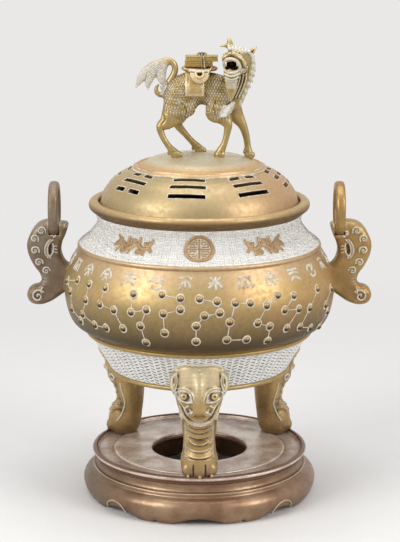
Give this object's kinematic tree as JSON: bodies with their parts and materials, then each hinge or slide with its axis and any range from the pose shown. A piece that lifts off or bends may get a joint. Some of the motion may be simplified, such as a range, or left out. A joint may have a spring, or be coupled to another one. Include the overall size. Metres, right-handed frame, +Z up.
{
  "type": "lidded tripod incense burner",
  "caption": "Round-bellied brass incense burner on beast-mask legs, with animal-head ring handles, a pierced domed lid topped by a walking beast, and a round stand.",
  "frame": {"origin": "on the floor under the middle of the stand", "axes": "+Z up; -Y towards the front leg; +X towards the handle that the beast on the lid walks towards"},
  "size_m": [0.348, 0.2724, 0.4646],
  "materials": {
    "stand": "brown patinated bronze, rubbed, satin",
    "bowl": "aged brass with a pale chalky filling in the recessed grounds, satin",
    "legs": "aged brass with pale filling in the recesses, satin",
    "handle_right": "aged brass with pale filling in the lines, satin",
    "handle_left": "darker aged brass with pale filling in the lines, satin",
    "rings": "aged brass, satin",
    "lid": "aged brass, rubbed, satin",
    "beast": "pale aged brass with dark recesses, satin",
    "saddlery": "pale aged brass with dark recesses, satin",
    "rivets": "aged brass, hammered"
  },
  "bodies": {
    "stand": {"stand_plate": "stand", "stand_apron": "stand"},
    "vessel": {"bowl": "bowl", "leg_front": "legs", "leg_front_rivet_1": "rivets", "leg_front_rivet_2": "rivets", "leg_right": "legs", "leg_right_rivet_1": "rivets", "leg_right_rivet_2": "rivets", "leg_left": "legs", "leg_left_rivet_1": "rivets", "leg_left_rivet_2": "rivets", "handle_right": "handle_right", "handle_ring_right": "rings", "handle_right_rivet_1": "rivets", "handle_right_rivet_2": "rivets", "handle_left": "handle_left", "handle_ring_left": "rings", "handle_left_rivet_1": "rivets", "handle_left_rivet_2": "rivets"},
    "cover": {"lid": "lid", "beast_body": "beast", "beast_head": "beast", "beast_tail": "beast", "saddle_cloth": "saddlery", "saddle": "saddlery", "book_lower": "saddlery", "book_upper": "saddlery", "book_tie": "saddlery", "hoof_rivet_rear_near": "rivets", "hoof_rivet_rear_far": "rivets", "hoof_rivet_front_near": "rivets", "hoof_rivet_front_far": "rivets"}
  },
  "joints": [
    {"name": "vessel_lift", "type": "slide", "parent": "stand", "child": "vessel", "axis": [0, 0, 1], "range_m": [0, 0.06]},
    {"name": "lid_lift", "type": "slide", "parent": "vessel", "child": "cover", "axis": [0, 0, 1], "range_m": [0, 0.12]}
  ]
}
